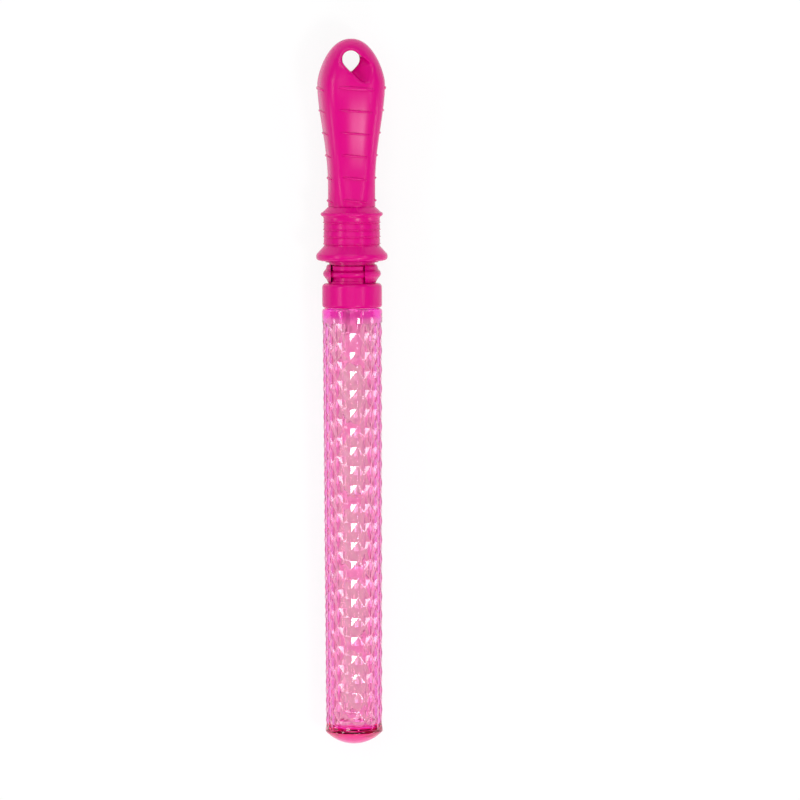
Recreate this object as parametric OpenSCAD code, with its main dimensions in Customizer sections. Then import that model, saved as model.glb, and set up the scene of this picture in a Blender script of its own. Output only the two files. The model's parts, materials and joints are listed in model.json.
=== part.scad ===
// Bubble wand. A tall tube with a diamond-faceted skin holds the bubble mixture,
// and a screw cap closes it. The cap carries the frame with the bubble loops below,
// and the hollow grip with its guard above. The wand is drawn upright on its long
// axis, from the lowest point of the tube's dome, seen from the front along +Y.
// At the end it is laid on its side, where it rests on the guard and the tube's end.

/* [Tube] */
// Radius of the smooth band under the cap, and of the diamond tips beside it
tube_r = 15.75; // [15.2:0.05:16.5]
// Radius of the diamond tips at the lower end, smaller by the mould's draft
tube_end_r = 15; // [14.5:0.05:15.7]
// Wall under the valleys between the diamonds
tube_wall = 1.2; // [0.8:0.05:1.5]
// Depth of the valleys between the diamonds
diamond_depth = 0.7; // [0.3:0.05:0.8]
// Height of one diamond
diamond_h = 9.94; // [9:0.02:11]
// Diamonds in one row round the tube
diamonds_round = 12; // [9:1:15]
// Half rows of diamonds along the tube
diamond_half_rows = 43; // [41:1:45]
// Height of the smooth band above the diamonds
band_h = 5; // [3:0.1:8]
// Height of the rounded shoulder above the band
shoulder_h = 2.4; // [2:0.1:3]
// Radius of the shoulder's rounded edge
shoulder_round = 1.6; // [0.8:0.1:2]
// Height of the smooth rim below the diamonds
rim_h = 1.4; // [0.6:0.1:3]
// Height of the domed end below the rim
dome_h = 6.6; // [4:0.1:9]
// Thickness of the solid base in its middle
base_t = 8.4; // [7.5:0.1:10]
// Radius of the rounded corner round the tube's floor
floor_round = 3; // [1:0.1:5]

/* [Neck, seal and cap] */
// Height of the neck above the shoulder
neck_h = 10.5; // [9:0.1:13]
// Outer radius of the neck, without its screw thread
neck_r = 12.9; // [12.6:0.05:13.2]
// Wall of the neck
neck_wall = 1; // [0.8:0.05:1.2]
// Thickness of the soft washer between the neck's rim and the cap
seal_t = 0.9; // [0.6:0.05:1.5]
// Space between neck and cap that the screw thread needs
thread_room = 1; // [0.8:0.05:1.2]
// Wall of the cap round the thread
cap_wall = 1.75; // [1.3:0.05:2.2]
// Thickness of the cap's top plate
cap_plate_t = 1.6; // [1.2:0.1:2.5]
// Radius of the cap's rounded upper edge
cap_round = 2.2; // [1:0.1:2.4]
// Radius of the cap's rounded lower edge
cap_foot_round = 1.5; // [0.5:0.1:1.7]
// Radius of the spigot on the cap, which carries the handle
spigot_r = 11.2; // [10.5:0.05:11.8]
// Height of the spigot
spigot_h = 16.5; // [14:0.1:18]
// How far the beads of the spigot's latch pads stand out in the lock ring's windows
pad_h = 2.7; // [2:0.05:3]
// How much narrower a pad is than its bead, on each side
pad_step = 1; // [0.8:0.1:3]
// Side of the keys on the cap that stop the handle from turning on it
key_w = 0.9; // [0.6:0.1:1.2]
// Angle of the left key and of the right key, from the front
key_left = -53; // [-56:1:-48]
key_right = 25; // [20:1:27]

/* [Lock ring] */
// Wall of the lock ring's sleeve
ring_wall = 0.75; // [0.5:0.05:1]
// Length of visible neck between the cap and the guard
neck_gap = 11; // [10.5:0.1:12.5]
// Width of each window in the lock ring
window_w = 17.9; // [14:0.1:20]
// How far the front window's middle lies to the left of the axis
window_shift = 2.05; // [0:0.05:4]
// How far the beads of the two claws beside the windows stand out from the sleeve
claw_h = 3.2; // [2:0.05:3.6]
// Height of the claws
claw_reach = 9.6; // [8:0.1:10.2]

/* [Guard] */
// Radius of the guard's ribbed cylinder
guard_r = 14.75; // [14.2:0.05:16]
// Height of the ribbed cylinder
guard_h = 14.6; // [12:0.1:18]
// How far its fine rings stand out
guard_ring_h = 0.32; // [0.15:0.01:0.45]
// Number of fine rings
guard_rings = 4; // [2:1:4]
// Distance from one fine ring to the next
guard_ring_pitch = 3.73; // [3:0.01:3.9]
// Height of the lowest fine ring above the skirt's cone
guard_ring_start = 1.2; // [0.6:0.1:2]
// Largest radius of the skirt
skirt_r = 18.7; // [17.5:0.05:21]
// Height of the skirt's cone
skirt_h = 5.8; // [4:0.1:8]
// Height of the skirt's edge below the cone
skirt_edge_h = 2.6; // [2:0.1:3]
// Radius of the skirt's rounded edge
skirt_round = 1.7; // [1:0.1:2]
// Height of the straight land in the middle of that edge
skirt_land = 0.8; // [0.4:0.1:1.2]
// Wall of the skirt
skirt_wall = 1.8; // [1.4:0.1:2.4]
// Radius of the bead at the guard's upper end
collar_r = 16.3; // [15.6:0.05:17]
// Height of the bead's cone, up to the grip
collar_h = 3.8; // [3:0.1:5]
// Height of the bead's underside
collar_foot_h = 2.1; // [2:0.1:3]
// Thickness of the floor across the guard's bore
guard_floor = 2; // [1.2:0.1:3]

/* [Grip] */
// Length of the grip above the guard
grip_h = 87.9; // [80:0.1:95]
// Half width of the grip's waist
waist_r = 12.4; // [11.9:0.05:12.6]
// Half width of the grip where it is broadest
bulge_r = 17.8; // [16:0.05:19]
// Height of the broadest place above the guard
bulge_z = 64.9; // [60:0.1:68]
// Length of the straight waist above the guard
waist_h = 9.9; // [6:0.1:14]
// How square the grip's section is, where 2 is a circle
grip_square = 3.1; // [2.4:0.1:4]
// How late the grip widens above its waist, where 1 is evenly
bulge_ease = 1.15; // [1:0.05:1.6]
// How flat the broadest place runs into the crown, where 2 is a circle
crown_ease = 1.4; // [1.3:0.05:2]
// How blunt the crown is at its top, where 0.5 is a circle
crown_blunt = 0.46; // [0.4:0.01:0.5]
// Angle of the front facet, from the front towards the right
facet_turn = 10; // [0:1:20]
// Wall of the hollow grip
grip_wall = 2; // [1.4:0.1:2.6]
// Radius of the round plug that joins grip and guard
plug_r = 11.1; // [10.5:0.05:11.3]
// Length of the plug
plug_h = 18; // [14:0.1:20]
// Number of ribs up each facet
grip_ribs = 6; // [4:1:6]
// Distance from rib to rib
rib_pitch = 11.7; // [10:0.1:11.7]
// Height of the lowest rib above the guard
rib_start = 3.1; // [3:0.1:6]
// Width of a rib
rib_w = 1; // [0.8:0.1:1.4]
// How far a rib stands out
rib_h = 0.45; // [0.2:0.05:0.7]
// How far each rib's right end lies below its middle
rib_drop = 0.7; // [0:0.1:1]

/* [Hanging hole] */
// Distance of the hole's centre below the grip's top
hole_drop = 10.8; // [10:0.1:13]
// Radius of the hole
hole_r = 4.6; // [3.5:0.05:5.2]
// Distance of the hole's pointed end below its centre
hole_point = 6.8; // [6:0.05:7]
// Depth of the web between the scoops of the two sides, where the hole's wall is whole
hole_web = 4.4; // [3:0.1:6]
// How far a scoop reaches sideways
scoop_side = 9; // [7:0.1:10]
// How far a scoop reaches down
scoop_drop = 7.5; // [6:0.1:8]
// Radius of a scoop's far end
scoop_r = 3.6; // [2.5:0.05:4]
// Slope of a scoop's floor
scoop_slope = 32; // [25:1:45]

/* [Bubble frame and stem] */
// Number of bubble loops
loops = 5; // [3:1:5]
// Distance from loop to loop
loop_pitch = 38; // [34:0.5:39]
// Half width of the frame over its loops
frame_r = 10.8; // [9.5:0.05:11.2]
// Width of the rim round each loop
loop_rim = 2.3; // [1.6:0.1:3]
// Thickness of the frame
frame_t = 3; // [2:0.1:4]
// Thickness of the thin web between the loops
web_t = 1.6; // [1:0.1:2]
// Gap between the frame's lower end and the tube's floor
frame_gap = 6; // [3:0.5:12]
// Teeth along each straight side of a loop
rim_teeth = 6; // [4:1:9]
// Depth of the notches between the teeth
notch_r = 0.65; // [0.4:0.05:0.8]
// Width of the frame's tongue
tongue_w = 8; // [6:0.1:9]
// Length of the frame's tongue inside the stem's fork
tongue_h = 12; // [9:0.1:14]
// Radius of the hole and peg that lock the tongue in the fork
peg_r = 1.5; // [1:0.05:1.8]
// Thickness of each cheek of the stem's fork
cheek_t = 1.2; // [0.8:0.05:1.6]
// Radius of the stem's plug in the cap
stem_r = 6; // [5:0.05:7]
// Length of the stem's plug
stem_plug_h = 12; // [9:0.1:13]
// Radius of the stem's flange under the cap
flange_r = 9.5; // [8.5:0.1:11]
// Thickness of the stem's flange
flange_t = 1.4; // [1:0.1:2]
// Width of the stem's bar
stem_w = 11; // [9:0.1:12]
// Thickness of the stem's bar and of its stiffening rib
stem_t = 2.2; // [1.6:0.1:3]

/* [Hidden] */
// Gap between pieces that are fixed to each other
fit_gap = 0.05;
// Gap between pieces that move on each other
run_gap = 0.3;
// Small length by which a cut runs past a face
over = 0.5;
// Widths of a rib's crest and foot, and where the skin is plain between two ribs
rib_crest_share = 0.25;
rib_foot_share = 0.7;
rib_plain_shares = [0.35, 0.65];
// Number of rings that shape the crown, and of rings in the grip's hollow
crown_rings = 11;
bore_rings = 10;
// Shares of a loop's rim: the gap to the next loop, and the web that bridges it
loop_gap_share = 0.7;
web_foot_share = 1.1;
web_height_share = 1.5;
// Flats round the skirt, and the angle between the rings of its rounded edge
skirt_sides = 40;
edge_step = 22.5;
// Corners of each ring of the grip's skin, and of its hollow
grip_sides = 48;
bore_sides = 24;
$fn = 96;

// Heights along the wand's axis
z_diamonds = dome_h + rim_h;
z_band = z_diamonds + diamond_half_rows * diamond_h / 2;
z_shoulder = z_band + band_h;
z_neck = z_shoulder + shoulder_h;
z_mouth = z_neck + neck_h;
z_seal = z_mouth + fit_gap;
z_plate = z_seal + seal_t + fit_gap;
z_cap_top = z_plate + cap_plate_t;
z_guard = z_cap_top + neck_gap;
z_skirt = z_guard + skirt_edge_h;
z_ribbed = z_skirt + skirt_h;
z_collar = z_ribbed + guard_h;
z_grip = z_collar + collar_foot_h + collar_h;
z_top = z_grip + grip_h;
z_spigot = z_cap_top + spigot_h;
z_guard_floor = z_spigot + fit_gap;

// Radii that follow from the pieces they fit
neck_bore_r = neck_r - neck_wall;
seal_r = neck_r + thread_room - run_gap;
seal_bore_r = neck_bore_r + run_gap / 2;
cap_bore_r = neck_r + thread_room;
cap_r = cap_bore_r + cap_wall;
ring_bore_r = spigot_r + fit_gap;
ring_r = ring_bore_r + ring_wall;
guard_bore_r = plug_r + fit_gap;
sleeve_bore_r = ring_r + fit_gap;

// The wand lies on the skirt's edge and on the foot of the tube's rim
rest_tilt = atan((skirt_r - tube_end_r) / (z_skirt - dome_h));
rest_rise = tube_end_r * cos(rest_tilt) - dome_h * sin(rest_tilt);
rest_mid = z_top / 2 * cos(rest_tilt);

// Radius of the diamond tips at a height on the tube
function tip_r(z) = tube_end_r - fit_gap
    + (tube_r - tube_end_r) * (z - z_diamonds) / (z_band - z_diamonds);

// Triangles between two closed rings of n points, the lower one starting at point a
function ring_faces(a, n) = [for (i = [0 : n - 1])
    let (j = (i + 1) % n, p = a + i, q = a + j, r = a + n + i, s = a + n + j)
    each [[p, s, q], [p, r, s]]];

// A solid through closed rings of n points each, from the lowest to the highest
module ring_solid(rings, n) {
    last = len(rings) - 1;
    polyhedron(
        points = [for (ring = rings) each ring],
        faces = [
            for (k = [0 : last - 1]) each ring_faces(k * n, n),
            [for (i = [0 : n - 1]) i],
            [for (i = [n - 1 : -1 : 0]) last * n + i]
        ]);
}

// Half outline of a disc with rounded outer corners, for rotate_extrude
module disc_section(r, z_low, z_high, round_low, round_high) {
    translate([0, z_low + round_low]) square([r, z_high - z_low - round_low - round_high]);
    translate([0, z_low]) square([r - round_low, round_low]);
    translate([0, z_high - round_high]) square([r - round_high, round_high]);
    translate([r - round_low, z_low + round_low]) circle(round_low);
    translate([r - round_high, z_high - round_high]) circle(round_high);
}

// Skin of diamonds: every second crossing of the grid is a tip and the rest are valleys
module diamond_skin() {
    columns = 2 * diamonds_round;
    rings = [for (j = [0 : diamond_half_rows])
        let (z = z_diamonds + j * diamond_h / 2)
        [for (i = [0 : columns - 1])
            let (tip = (i + diamond_half_rows - j) % 2 == 0,
                 r = tip_r(z) - (tip ? 0 : diamond_depth),
                 a = facet_turn - 90 + i * 180 / diamonds_round)
            [r * cos(a), r * sin(a), z]]];
    // Each square of the grid is folded between its two valleys
    polyhedron(
        points = [for (ring = rings) each ring],
        faces = [
            for (j = [0 : diamond_half_rows - 1], i = [0 : columns - 1])
                let (k = (i + 1) % columns, p = j * columns + i, q = j * columns + k,
                     r = p + columns, s = q + columns,
                     tip = (i + diamond_half_rows - j) % 2 == 0)
                each tip ? [[p, r, q], [q, r, s]] : [[p, s, q], [p, r, s]],
            [for (i = [0 : columns - 1]) i],
            [for (i = [columns - 1 : -1 : 0]) diamond_half_rows * columns + i]
        ]);
}

// Everything of the tube that is turned: dome, rim, band, shoulder and neck
module tube_turned() {
    dome_r = (tube_end_r * tube_end_r + dome_h * dome_h) / (2 * dome_h);
    intersection() {
        translate([0, 0, dome_r]) sphere(dome_r);
        translate([0, 0, -over]) cylinder(h = dome_h + over, r = tube_end_r);
    }
    rotate_extrude() {
        translate([0, dome_h]) square([tube_end_r, rim_h]);
        // Smooth band with its rounded shoulder, then the neck
        translate([0, z_band]) square([tube_r, z_neck - shoulder_round - z_band]);
        translate([0, z_band]) square([tube_r - shoulder_round, z_neck - z_band]);
        translate([tube_r - shoulder_round, z_neck - shoulder_round]) circle(shoulder_round);
        translate([0, z_band]) square([neck_r, z_mouth - z_band]);
    }
}

// Hollow of the tube, from its floor to its mouth
module tube_hollow() {
    low_r = tube_end_r - diamond_depth - tube_wall;
    high_r = tube_r - diamond_depth - tube_wall;
    z_roof = z_neck - tube_wall - diamond_depth;
    rotate_extrude() {
        polygon([
            [0, base_t + floor_round], [low_r, base_t + floor_round],
            [high_r, z_roof - (high_r - neck_bore_r)], [neck_bore_r, z_roof],
            [neck_bore_r, z_mouth + over], [0, z_mouth + over]
        ]);
        translate([0, base_t]) square([low_r - floor_round, floor_round]);
        intersection() {
            translate([low_r - floor_round, base_t + floor_round]) circle(floor_round);
            translate([0, base_t]) square([low_r, floor_round]);
        }
    }
}

module tube() {
    color([0.93, 0.55, 0.76, 0.6])
    difference() {
        union() {
            diamond_skin();
            tube_turned();
        }
        tube_hollow();
    }
}

module neck_seal() {
    color("white")
    translate([0, 0, z_seal])
    difference() {
        cylinder(h = seal_t, r = seal_r);
        translate([0, 0, -over]) cylinder(h = seal_t + 2 * over, r = seal_bore_r);
    }
}

// Outline of a latch pad: foot, groove, bead, groove and land, from the cap upwards.
// Each pair is a share of the bead's height and a share of the claws' height.
pad_shares = [
    [0.62, 0], [0.62, 0.1], [0.3, 0.14], [0.2, 0.3], [0.75, 0.38], [0.98, 0.47], [1, 0.52],
    [0.9, 0.6], [0.5, 0.66], [0.35, 0.69], [0.6, 0.74], [0.62, 0.93], [0.4, 0.97]
];

// Where the pads' bead begins and ends, in shares of the claws' height
bead_foot_share = 0.32;
bead_top_share = 0.69;

// Outline of a claw, in the same shares
claw_shares = [
    [0.1, 0.01], [0.28, 0.1], [0.44, 0.2], [0.9, 0.4], [1, 0.5], [0.9, 0.63], [0.53, 0.77],
    [0.44, 0.9], [0.28, 1]
];

// Ring with one of these outlines, from the inner radius r
module share_ring(shares, r, h) {
    rotate_extrude()
        polygon([
            [r - over, z_cap_top],
            for (share = shares) [r + share[0] * h, z_cap_top + share[1] * claw_reach],
            [r - over, z_cap_top + shares[len(shares) - 1][1] * claw_reach]
        ]);
}

// Space of the front window, drawn in by a margin on each side
module window_space(margin, z_low, z_high) {
    translate([margin - window_w / 2 - window_shift, -skirt_r, z_low])
        cube([window_w - 2 * margin, skirt_r, z_high - z_low]);
}

module latch_pad() {
    z_low = z_cap_top - over;
    z_high = z_cap_top + claw_reach;
    intersection() {
        share_ring(pad_shares, spigot_r, pad_h);
        union() {
            window_space(pad_step, z_low, z_high);
            // The bead is as wide as the window lets it be
            window_space(2 * fit_gap, z_cap_top + bead_foot_share * claw_reach,
                         z_cap_top + bead_top_share * claw_reach);
        }
    }
}

module screw_cap() {
    color("#DE2A89")
    difference() {
        union() {
            rotate_extrude()
                disc_section(cap_r, z_neck + run_gap, z_cap_top, cap_foot_round, cap_round);
            cylinder(h = z_spigot, r = spigot_r);
            for (side = [0, 180]) rotate([0, 0, side]) {
                latch_pad();
                // A key stands at each foot corner of the window
                for (turn = [key_left, key_right])
                    rotate([0, 0, turn - 90])
                    translate([spigot_r - over, -key_w / 2, z_cap_top - over])
                    cube([2 * key_w + over, key_w, key_w + over]);
            }
        }
        // Threaded hollow below the plate
        translate([0, 0, -over]) cylinder(h = z_plate + over, r = cap_bore_r);
        // Socket for the stem's plug
        translate([0, 0, z_plate - over])
            cylinder(h = stem_plug_h + 2 * over, r = stem_r + fit_gap);
    }
}

module lock_ring() {
    z_foot = z_cap_top + fit_gap;
    color("#DE2A89")
    difference() {
        union() {
            translate([0, 0, z_foot]) cylinder(h = z_guard_floor - fit_gap - z_foot, r = ring_r);
            translate([0, 0, fit_gap]) share_ring(claw_shares, ring_r, claw_h);
        }
        translate([0, 0, z_foot - over])
            cylinder(h = z_guard_floor - z_foot + 2 * over, r = ring_bore_r);
        // Windows for the latch pads and keys
        for (side = [0, 180]) rotate([0, 0, side])
            window_space(0, z_foot - over, z_foot + claw_reach + fit_gap);
    }
}

// Radius of the upper bead, in shares of its underside's height
bead_share = 0.55;

// One ring of the skirt's flats, which touch a circle of the given radius
function flat_ring(r, z) = [for (i = [0 : skirt_sides - 1])
    let (a = (i + 0.5) * 360 / skirt_sides, c = r / cos(180 / skirt_sides))
    [c * cos(a), c * sin(a), z]];

// The skirt is a solid of narrow flats: its underside, its rounded edge with a straight
// land in the middle, and its cone. The wand lies on one of the land's flats.
module skirt() {
    edge_r = skirt_r - skirt_round;
    z_land = z_skirt + skirt_land;
    ring_solid([
        flat_ring(sleeve_bore_r + skirt_wall + fit_gap, z_guard),
        for (a = [-90 : edge_step : 0])
            flat_ring(edge_r + skirt_round * cos(a), z_skirt + skirt_round * sin(a)),
        for (a = [0 : edge_step : 45])
            flat_ring(edge_r + skirt_round * cos(a), z_land + skirt_round * sin(a)),
        flat_ring(guard_r + fit_gap, z_ribbed)
    ], skirt_sides);
}

// Half outline of the ribbed cylinder and the upper bead
module guard_section() {
    z_bead = z_collar + collar_foot_h;
    bead_r = collar_foot_h * bead_share;
    difference() {
        union() {
            polygon([
                [0, z_skirt], [guard_r, z_skirt], [guard_r, z_collar],
                [collar_r - bead_r, z_bead - bead_r],
                [collar_r - bead_r, z_bead + bead_r],
                [waist_r, z_grip], [0, z_grip]
            ]);
            translate([collar_r - bead_r, z_bead]) circle(bead_r);
            for (i = [0 : guard_rings - 1])
                translate([guard_r, z_ribbed + guard_ring_start + i * guard_ring_pitch])
                circle(guard_ring_h);
        }
        // A shallow step lies under each fine ring
        for (i = [0 : guard_rings - 1])
            translate([guard_r, z_ribbed + guard_ring_start + i * guard_ring_pitch])
            polygon([
                [-guard_ring_h, -guard_ring_h], [2 * guard_ring_h, -guard_ring_h],
                [0, -guard_ring_pitch / 3]
            ]);
    }
}

module guard_collar() {
    hollow_r = skirt_r - skirt_round - skirt_wall / 2;
    color("#DE2A89")
    difference() {
        union() {
            skirt();
            rotate_extrude() guard_section();
        }
        rotate_extrude() {
            // Bore for the grip's plug
            translate([0, z_guard_floor + guard_floor]) square([guard_bore_r, z_top]);
            // Bore for the lock ring, from below
            translate([0, z_guard - over])
                square([sleeve_bore_r, z_guard_floor - z_guard + over]);
            // Hollow of the skirt
            polygon([
                [sleeve_bore_r + skirt_wall, z_guard - over], [hollow_r, z_guard - over],
                [hollow_r, z_skirt], [sleeve_bore_r + skirt_wall, z_ribbed - skirt_wall]
            ]);
        }
    }
}

// Half width of the grip's section at a height above the guard
function grip_half(h) = h < bulge_z
    ? let (u = max(0, h - waist_h) / (bulge_z - waist_h), v = pow(u, bulge_ease))
        waist_r + (bulge_r - waist_r) * v * v * (3 - 2 * v)
    : bulge_r * pow(1 - pow((h - bulge_z) / (grip_h - bulge_z), crown_ease), crown_blunt);

// How square the section is at a height: round at the waist's foot and at the top
function grip_power(h) =
    let (low = min(1, h / waist_h / 2), high = min(1, (grip_h - h) / (grip_h - bulge_z)))
    2 + (grip_square - 2) * low * high;

// Share of a rib's height that is left at an angle b from the middle of its facet
function rib_share(b) = abs(b) < 26 ? 1 : abs(b) < 32 ? 0.5 : 0;

// One ring of the grip, drawn in by a wall, with a rib of a given height on each facet.
// The squarish section is turned with its facets and keeps its width as seen from the front.
function grip_ring(h, wall, rib, sides) =
    let (n = grip_power(h), m = n / (n - 1),
         spread = pow(pow(cos(facet_turn), m) + pow(sin(facet_turn), m), 1 / m),
         half = (grip_half(h) - wall) / spread,
         lean = h > rib_start / 2 && h < grip_h - hole_drop - hole_r ? rib_drop : 0)
    [for (i = [0 : sides - 1])
        let (a = i * 360 / sides,
             b = (a + 405) % 90 - 45,
             r = half / pow(pow(abs(cos(a)), n) + pow(abs(sin(a)), n), 1 / n)
                 + rib * rib_share(b))
        [r * cos(a + facet_turn), r * sin(a + facet_turn), z_grip + h - lean * sin(4 * b)]];

// Heights of the grip's rings, each with the height of its rib
function grip_stations() = [
    [0, 0],
    for (k = [0 : grip_ribs - 1]) let (h = rib_start + k * rib_pitch) each [
        [h - rib_w * rib_foot_share, 0], [h - rib_w * rib_crest_share, rib_h],
        [h + rib_w * rib_crest_share, rib_h], [h + rib_w * rib_foot_share, 0],
        each k < grip_ribs - 1 ? [for (share = rib_plain_shares) [h + rib_pitch * share, 0]] : []
    ],
    // The crown's rings lie closer together towards the top
    let (from = max(bulge_z, rib_start + (grip_ribs - 1) * rib_pitch + rib_w))
    for (k = [1 : crown_rings]) [from + (grip_h - from) * sin(k * 90 / (crown_rings + 0.3)), 0]
];

// Cut from one side of the grip for the hanging hole: the drop-shaped hole itself, and
// a scoop that leads from it down and to one side, with a sloping floor
module hanging_scoop() {
    reach = sqrt(scoop_side * scoop_side + scoop_drop * scoop_drop);
    turn = atan2(scoop_drop, scoop_side);
    lean = asin((hole_r - scoop_r) / reach);
    point = asin(hole_r / hole_point);
    side = hole_r * [cos(point), -sin(point)];
    translate([0, 0, z_top - hole_drop])
    rotate([90, 0, 0]) {
        translate([0, 0, -bulge_r - over]) linear_extrude(2 * (bulge_r + over)) {
            circle(hole_r);
            polygon([[0, 0], side, [0, -hole_point], [-side[0], side[1]]]);
        }
        rotate([0, 0, -turn])
        intersection() {
            linear_extrude(bulge_r + over) {
                circle(hole_r);
                translate([reach, 0]) circle(scoop_r);
                polygon([
                    hole_r * [sin(lean), cos(lean)],
                    [reach, 0] + scoop_r * [sin(lean), cos(lean)],
                    [reach, 0] + scoop_r * [sin(lean), -cos(lean)],
                    hole_r * [sin(lean), -cos(lean)]
                ]);
            }
            translate([0, 0, hole_web / 2]) rotate([0, -scoop_slope, 0])
                translate([-hole_r, -bulge_r, 0]) cube([4 * bulge_r, 2 * bulge_r, 4 * bulge_r]);
        }
    }
}

module grip() {
    stations = grip_stations();
    hollow_top = grip_h - hole_drop - hole_r - scoop_drop - grip_wall;
    color("#DE2A89")
    difference() {
        union() {
            ring_solid([for (s = stations) grip_ring(s[0], 0, s[1], grip_sides)], grip_sides);
            translate([0, 0, z_grip - plug_h]) cylinder(h = plug_h + over, r = plug_r);
        }
        // Hollow of the grip, and the plug's bore that leads to it
        ring_solid([for (k = [0 : bore_rings])
            let (h = grip_wall / 2 + k * (hollow_top - grip_wall / 2) / bore_rings)
            grip_ring(h, grip_wall + (k == bore_rings ? waist_r / 2 : 0), 0, bore_sides)],
            bore_sides);
        translate([0, 0, z_grip - plug_h - over])
            cylinder(h = plug_h + grip_wall, r = plug_r - grip_wall);
        for (side = [0, 180]) rotate([0, 0, side]) hanging_scoop();
    }
}

// Places along the bubble frame
z_frame = base_t + frame_gap;
loop_h = loop_pitch - loop_rim * loop_gap_share;
z_tongue = z_frame + (loops - 1) * loop_pitch + loop_h;
z_fork = z_tongue + over;

// Stadium outline of half width r and full height h, standing on the line y = 0
module stadium(r, h) {
    translate([0, r]) circle(r);
    translate([0, h - r]) circle(r);
    translate([-r, r]) square([2 * r, h - 2 * r]);
}

// Outline of one loop, with notches along its inner edge that hold the soap film
module loop_outline() {
    inner_r = frame_r - loop_rim;
    straight = loop_h - 2 * frame_r;
    difference() {
        stadium(frame_r, loop_h);
        translate([0, loop_rim]) stadium(inner_r, loop_h - 2 * loop_rim);
        for (side = [-1, 1], k = [0 : rim_teeth - 1])
            translate([side * inner_r, frame_r + (k + 0.5) * straight / rim_teeth])
            circle(notch_r, $fn = 24);
        for (end = [-1, 1], k = [1 : 2 * rim_teeth - 1])
            translate([0, loop_h / 2 + end * straight / 2])
            rotate([0, 0, end * k * 90 / rim_teeth])
            translate([inner_r, 0]) circle(notch_r, $fn = 24);
    }
}

module bubble_frame() {
    color([0.93, 0.45, 0.7])
    difference() {
        union() {
            for (k = [0 : loops - 1])
                translate([0, frame_t / 2, z_frame + k * loop_pitch])
                rotate([90, 0, 0]) linear_extrude(frame_t) loop_outline();
            // Webs that join one loop to the next
            for (k = [1 : loops - 1])
                translate([-frame_r / 2, -web_t / 2,
                           z_frame + k * loop_pitch - loop_rim * web_foot_share])
                cube([frame_r, web_t, loop_rim * web_height_share]);
            // Tongue for the stem's fork
            translate([-tongue_w / 2, -web_t / 2, z_tongue - loop_rim / 2])
                cube([tongue_w, web_t, tongue_h + loop_rim / 2]);
        }
        translate([0, frame_t, z_tongue + tongue_h / 2])
            rotate([90, 0, 0]) cylinder(h = 2 * frame_t, r = peg_r + fit_gap);
    }
}

module wand_stem() {
    z_flange = z_plate - fit_gap - flange_t;
    fork_top = z_tongue + tongue_h + fit_gap;
    half = web_t / 2 + fit_gap;
    color([0.93, 0.45, 0.7]) {
        // Plug and flange
        translate([0, 0, z_plate - fit_gap]) cylinder(h = stem_plug_h, r = stem_r);
        translate([0, 0, z_flange]) cylinder(h = flange_t, r = flange_r);
        // Bar with a stiffening rib on both faces
        translate([-stem_w / 2, -stem_t / 2, fork_top])
            cube([stem_w, stem_t, z_flange - fork_top]);
        translate([-stem_t / 2, -stem_w / 2, fork_top + cheek_t])
            cube([stem_t, stem_w, z_flange - fork_top - cheek_t]);
        // Two cheeks grip the tongue, and a peg on one of them locks it
        for (side = [-1, 1])
            translate([-stem_w / 2, side * (half + cheek_t / 2) - cheek_t / 2, z_fork])
            cube([stem_w, cheek_t, fork_top + cheek_t - z_fork]);
        translate([0, half + cheek_t / 2, z_tongue + tongue_h / 2])
            rotate([90, 0, 0]) cylinder(h = web_t + cheek_t / 2, r = peg_r);
    }
}

// Lays the upright wand on its side: the front faces up and the grip lies towards +X
module lay_down() {
    translate([-rest_mid, 0, rest_rise])
    rotate([0, -rest_tilt, 0])
    rotate([-90, 0, 0]) rotate([0, 90, 0])
    children();
}

lay_down() tube();
lay_down() neck_seal();
lay_down() screw_cap();
lay_down() lock_ring();
lay_down() guard_collar();
lay_down() grip();
lay_down() wand_stem();
lay_down() bubble_frame();
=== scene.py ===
# %% [markdown]
# # A bubble wand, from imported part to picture
# The object is a toy: a tall tube that holds bubble mixture, and a wand that closes it. The wand is
# one stack of mouldings, from the loops inside the tube up to the squarish grip. It lies on a white
# table and is seen from above, with its grip at the top of the picture.
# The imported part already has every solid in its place, so it is loaded first and stays where it is.
# The scene then adds what a solid model is poor at: soft edges, screw threads, and real plastics.

import json
import math

import bmesh
import bpy
import numpy as np
from mathutils import Matrix, Vector


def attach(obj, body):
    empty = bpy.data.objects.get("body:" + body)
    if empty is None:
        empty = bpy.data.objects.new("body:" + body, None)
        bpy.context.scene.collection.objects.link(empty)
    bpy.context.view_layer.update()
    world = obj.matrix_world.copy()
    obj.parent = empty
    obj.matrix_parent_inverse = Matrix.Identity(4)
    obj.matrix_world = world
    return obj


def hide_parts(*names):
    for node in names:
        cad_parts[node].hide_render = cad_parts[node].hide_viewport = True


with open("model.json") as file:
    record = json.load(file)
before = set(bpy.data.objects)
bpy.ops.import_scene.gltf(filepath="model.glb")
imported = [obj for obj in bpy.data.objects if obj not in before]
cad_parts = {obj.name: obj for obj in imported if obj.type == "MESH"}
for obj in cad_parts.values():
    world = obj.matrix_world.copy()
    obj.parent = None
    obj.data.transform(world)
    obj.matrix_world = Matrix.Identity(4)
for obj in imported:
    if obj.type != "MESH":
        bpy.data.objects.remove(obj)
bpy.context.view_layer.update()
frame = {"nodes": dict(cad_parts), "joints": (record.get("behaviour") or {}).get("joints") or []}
scene = bpy.context.scene
print("nodes:", sorted(frame["nodes"]))

# %% [markdown]
# ## The wand's own axis
# The wand lies on its skirt and on the tube's end, so its axis is tilted a little. Positions are
# easier to think of along the wand: up from the lowest point of the dome, to the right, and out
# towards the front. Both joints run along the wand's axis, so the record gives us that axis, and
# the joint of the cap sits at the tube's mouth. One matrix then turns "along the wand" into "in the
# scene".

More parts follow.
